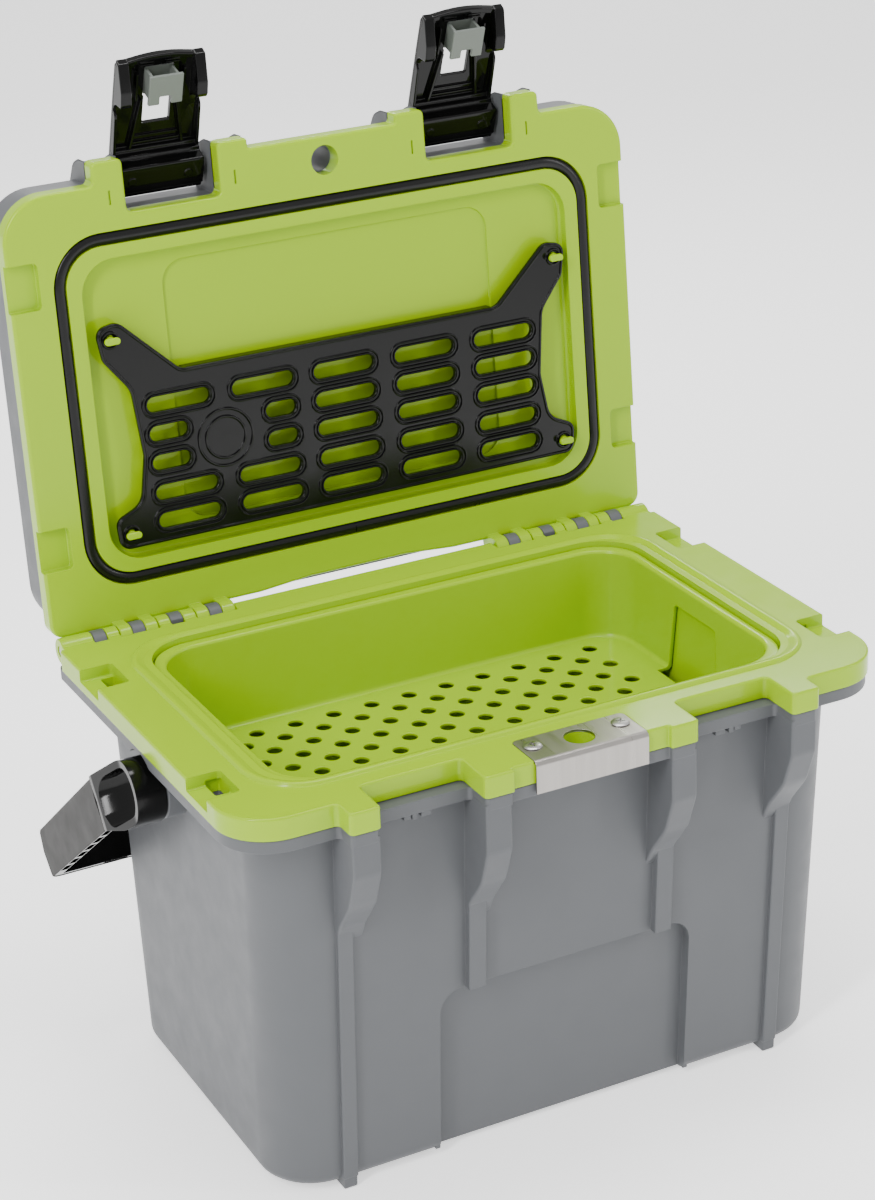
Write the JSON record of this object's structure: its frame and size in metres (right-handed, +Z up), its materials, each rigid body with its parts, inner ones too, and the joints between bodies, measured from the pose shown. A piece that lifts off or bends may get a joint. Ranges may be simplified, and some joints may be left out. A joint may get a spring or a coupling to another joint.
{
  "type": "cooler chest",
  "caption": "Hard-sided personal cooler with a hinged, gasketed lid, over-centre latches, a lift-out tray, a lid organiser and a bail handle.",
  "frame": {"origin": "centre of the body's flat underside, between the two runners", "axes": "+X to the right, front faces -Y, +Z up"},
  "size_m": [0.468, 0.3689, 0.6244],
  "materials": {
    "green_moulding": "satin gloss moulded plastic",
    "grey_shell": "fine satin moulded plastic",
    "latch_black": "glossy moulded plastic",
    "button_grey": "satin moulded plastic",
    "handle_grey": "satin moulded plastic",
    "handle_black": "satin moulded plastic",
    "gasket_rubber": "smooth rubber",
    "organiser_rubber": "semi-gloss moulded rubber",
    "foam": "closed-cell foam",
    "brushed_steel": "brushed",
    "screw_steel": "satin",
    "steel_pin": "turned"
  },
  "bodies": {
    "body": {"body_shell": "grey_shell", "body_foam": "foam", "body_liner": "green_moulding", "hinge_pin_left": "steel_pin", "hinge_pin_right": "steel_pin", "opener_plate": "brushed_steel", "plate_screw_left": "screw_steel", "plate_screw_right": "screw_steel", "handle_axle_left": "steel_pin", "handle_axle_right": "steel_pin"},
    "lid": {"lid_liner": "green_moulding", "lid_shell": "grey_shell", "lid_foam": "foam", "lid_gasket": "gasket_rubber", "organiser": "organiser_rubber", "latch_pin_left": "steel_pin", "latch_pin_right": "steel_pin"},
    "latch_left": {"latch_lever_left": "latch_black"},
    "latch_right": {"latch_lever_right": "latch_black"},
    "button_left": {"latch_button_left": "button_grey"},
    "button_right": {"latch_button_right": "button_grey"},
    "handle": {"handle_bail": "handle_grey", "handle_insert": "handle_black", "handle_hub_left": "handle_black", "handle_hub_right": "handle_black"},
    "tray": {"tray": "green_moulding"}
  },
  "joints": [
    {"name": "lid_hinge", "type": "hinge", "parent": "body", "child": "lid", "pos_m": [0, 0.14, 0.2628], "axis": [-1, 0, 0], "range_deg": [-94.6, 0]},
    {"name": "latch_left_pivot", "type": "hinge", "parent": "lid", "child": "latch_left", "pos_m": [-0.1024, 0.1981, 0.53602], "axis": [-1, 0, 0], "range_deg": [-65, 12]},
    {"name": "latch_right_pivot", "type": "hinge", "parent": "lid", "child": "latch_right", "pos_m": [0.1024, 0.1981, 0.53602], "axis": [-1, 0, 0], "range_deg": [-65, 12]},
    {"name": "button_left_press", "type": "slide", "parent": "latch_left", "child": "button_left", "axis": [0, -0.9373, -0.3486], "range_m": [0, 0.0024], "stiffness_N_per_m": 800, "springref_m": -0.002},
    {"name": "button_right_press", "type": "slide", "parent": "latch_right", "child": "button_right", "axis": [0, -0.9373, -0.3486], "range_m": [0, 0.0024], "stiffness_N_per_m": 800, "springref_m": -0.002},
    {"name": "handle_swing", "type": "hinge", "parent": "body", "child": "handle", "pos_m": [0, 0.006, 0.2266], "axis": [1, 0, 0], "range_deg": [0, 38]},
    {"name": "tray_lift", "type": "slide", "parent": "body", "child": "tray", "axis": [0, 0, 1], "range_m": [0, 0.08]}
  ]
}
